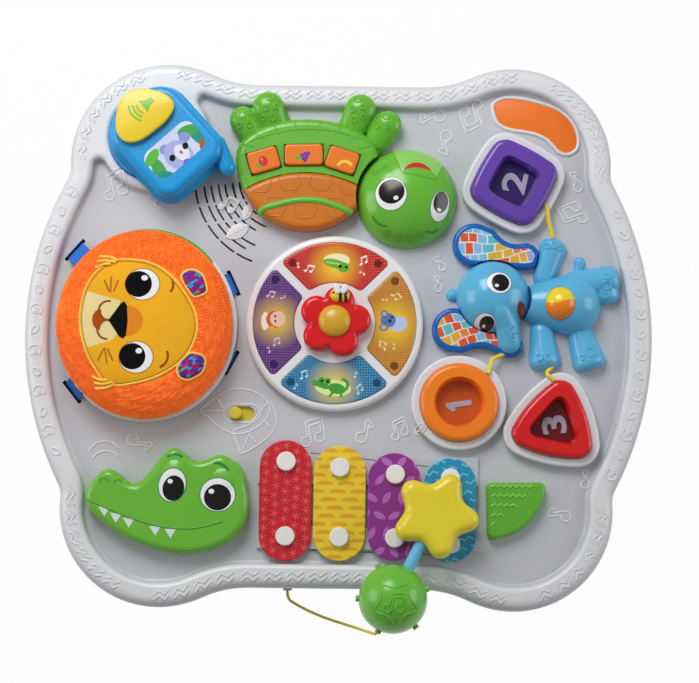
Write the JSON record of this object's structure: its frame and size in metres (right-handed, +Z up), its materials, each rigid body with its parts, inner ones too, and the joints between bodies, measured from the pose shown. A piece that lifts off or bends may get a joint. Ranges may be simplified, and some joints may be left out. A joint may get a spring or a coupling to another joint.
{
  "type": "baby activity table",
  "caption": "Round-lobed activity table on legs, with a toy telephone, turtle keys, soft lion drum, light dial, rolling-ball elephant, shape buttons, chime bars and a corded mallet.",
  "frame": {"origin": "on the floor, under the middle of the table's bounding box without its cord", "axes": "+Z up, the child stands at -Y, +X to the child's right"},
  "size_m": [0.5, 0.4562, 0.3973],
  "materials": {
    "white_plastic": "satin",
    "steel": "brushed",
    "battery_jacket": "gloss",
    "board_green": "matte",
    "led_clear": "clear",
    "dome_rubber": "matte",
    "speaker_black": "matte",
    "sky_blue": "gloss",
    "picture_window": "printed, gloss",
    "yellow_plastic": "gloss",
    "leaf_green": "gloss",
    "light_green": "gloss",
    "amber_brown": "gloss",
    "orange_plastic": "gloss",
    "orange_fur": "plush",
    "gold_felt": "felt",
    "purple_felt": "patterned cloth",
    "blue_webbing": "webbing",
    "red_lens": "tinted, printed",
    "amber_lens": "tinted, printed",
    "teal_lens": "tinted, printed",
    "purple_lens": "tinted, printed",
    "red_plastic": "gloss",
    "mustard_plastic": "gloss",
    "baby_blue": "gloss",
    "deep_blue": "gloss",
    "patchwork_print": "printed",
    "violet_plastic": "gloss",
    "bar_red": "printed, gloss",
    "bar_yellow": "printed, gloss",
    "bar_purple": "printed, gloss",
    "bar_blue": "printed, gloss",
    "cream_plastic": "gloss",
    "yellow_cord": "braided cord"
  },
  "bodies": {
    "table": {"top_shell": "white_plastic", "bottom_shell": "white_plastic", "case_screws": "steel", "batteries": "battery_jacket", "battery_contacts": "steel", "circuit_board": "board_green", "leds": "led_clear", "switch_domes": "dome_rubber", "speaker": "speaker_black", "leg_front_left": "white_plastic", "leg_front_right": "white_plastic", "leg_back_left": "white_plastic", "leg_back_right": "white_plastic", "turtle_body": "leaf_green", "turtle_shell": "amber_brown", "dial_bezel": "white_plastic", "lens_top": "red_lens", "lens_right": "amber_lens", "lens_bottom": "teal_lens", "lens_left": "purple_lens", "elephant_body": "baby_blue", "elephant_head": "baby_blue", "elephant_ears": "deep_blue", "ear_panels": "patchwork_print", "balloon_strings": "yellow_plastic", "croc_head": "leaf_green", "croc_tail": "leaf_green", "bar_red": "bar_red", "bar_yellow": "bar_yellow", "bar_purple": "bar_purple", "bar_blue": "bar_blue", "bar_pegs": "cream_plastic", "lion_straps": "blue_webbing", "mallet_cord": "yellow_cord"},
    "battery_cover": {"battery_door": "white_plastic", "door_screw": "steel"},
    "telephone": {"handset_base": "sky_blue", "handset_case": "sky_blue", "handset_screen": "picture_window"},
    "telephone_key": {"handset_button": "yellow_plastic"},
    "turtle_key_left": {"key_left": "orange_plastic"},
    "turtle_key_middle": {"key_middle": "orange_plastic"},
    "turtle_key_right": {"key_right": "orange_plastic"},
    "turtle_face": {"turtle_head": "leaf_green", "turtle_jaw": "light_green"},
    "drum": {"drum_plate": "white_plastic", "lion_pad": "orange_fur", "lion_face": "gold_felt", "lion_ears": "purple_felt"},
    "spinner": {"flower": "red_plastic", "flower_cap": "mustard_plastic", "bee": "yellow_plastic"},
    "tummy": {"tummy_ball": "orange_plastic"},
    "circle_key": {"button_circle": "orange_plastic"},
    "square_key": {"button_square": "violet_plastic"},
    "triangle_key": {"button_triangle": "red_plastic"},
    "volume": {"volume_slider": "yellow_plastic"},
    "mallet": {"mallet_star": "yellow_plastic", "mallet_handle": "baby_blue", "mallet_ball": "leaf_green"}
  },
  "joints": [
    {"name": "flower_spin", "type": "hinge", "parent": "table", "child": "spinner", "pos_m": [-0.0032, 0.01565, 0.35], "axis": [0, 0, 1], "continuous": true},
    {"name": "tummy_roll", "type": "hinge", "parent": "table", "child": "tummy", "pos_m": [0.176, 0.03245, 0.3543], "axis": [1, 0, 0], "continuous": true},
    {"name": "turtle_head_turn", "type": "hinge", "parent": "table", "child": "turtle_face", "pos_m": [0.0532, 0.11755, 0.34], "axis": [0, 0, 1], "range_deg": [-25, 25]},
    {"name": "key_left_press", "type": "slide", "parent": "table", "child": "turtle_key_left", "axis": [0, 0, -1], "range_m": [0, 0.0025], "stiffness_N_per_m": 400, "springref_m": -0.0015},
    {"name": "key_middle_press", "type": "slide", "parent": "table", "child": "turtle_key_middle", "axis": [0, 0, -1], "range_m": [0, 0.0025], "stiffness_N_per_m": 400, "springref_m": -0.0015},
    {"name": "key_right_press", "type": "slide", "parent": "table", "child": "turtle_key_right", "axis": [0, 0, -1], "range_m": [0, 0.0025], "stiffness_N_per_m": 400, "springref_m": -0.0015},
    {"name": "circle_press", "type": "slide", "parent": "table", "child": "circle_key", "axis": [0, 0, -1], "range_m": [0, 0.003], "stiffness_N_per_m": 600, "springref_m": -0.002},
    {"name": "square_press", "type": "slide", "parent": "table", "child": "square_key", "axis": [0, 0, -1], "range_m": [0, 0.003], "stiffness_N_per_m": 600, "springref_m": -0.002},
    {"name": "triangle_press", "type": "slide", "parent": "table", "child": "triangle_key", "axis": [0, 0, -1], "range_m": [0, 0.003], "stiffness_N_per_m": 600, "springref_m": -0.002},
    {"name": "drum_press", "type": "slide", "parent": "table", "child": "drum", "axis": [0, 0, -1], "range_m": [0, 0.002], "stiffness_N_per_m": 2500, "springref_m": -0.004, "deforming": ["lion_straps"]},
    {"name": "handset_lift", "type": "slide", "parent": "table", "child": "telephone", "axis": [0, 0, 1], "range_m": [0, 0.08]},
    {"name": "handset_button_press", "type": "slide", "parent": "telephone", "child": "telephone_key", "axis": [0, 0, -1], "range_m": [0, 0.002], "stiffness_N_per_m": 400, "springref_m": -0.002},
    {"name": "mallet_lift", "type": "slide", "parent": "table", "child": "mallet", "axis": [0, 0, 1], "range_m": [0, 0.1]},
    {"name": "volume_slide", "type": "slide", "parent": "table", "child": "volume", "axis": [1, 0, 0], "range_m": [0, 0.0095]},
    {"name": "battery_door_release", "type": "slide", "parent": "table", "child": "battery_cover", "axis": [0, 0, -1], "range_m": [0, 0.04]}
  ]
}
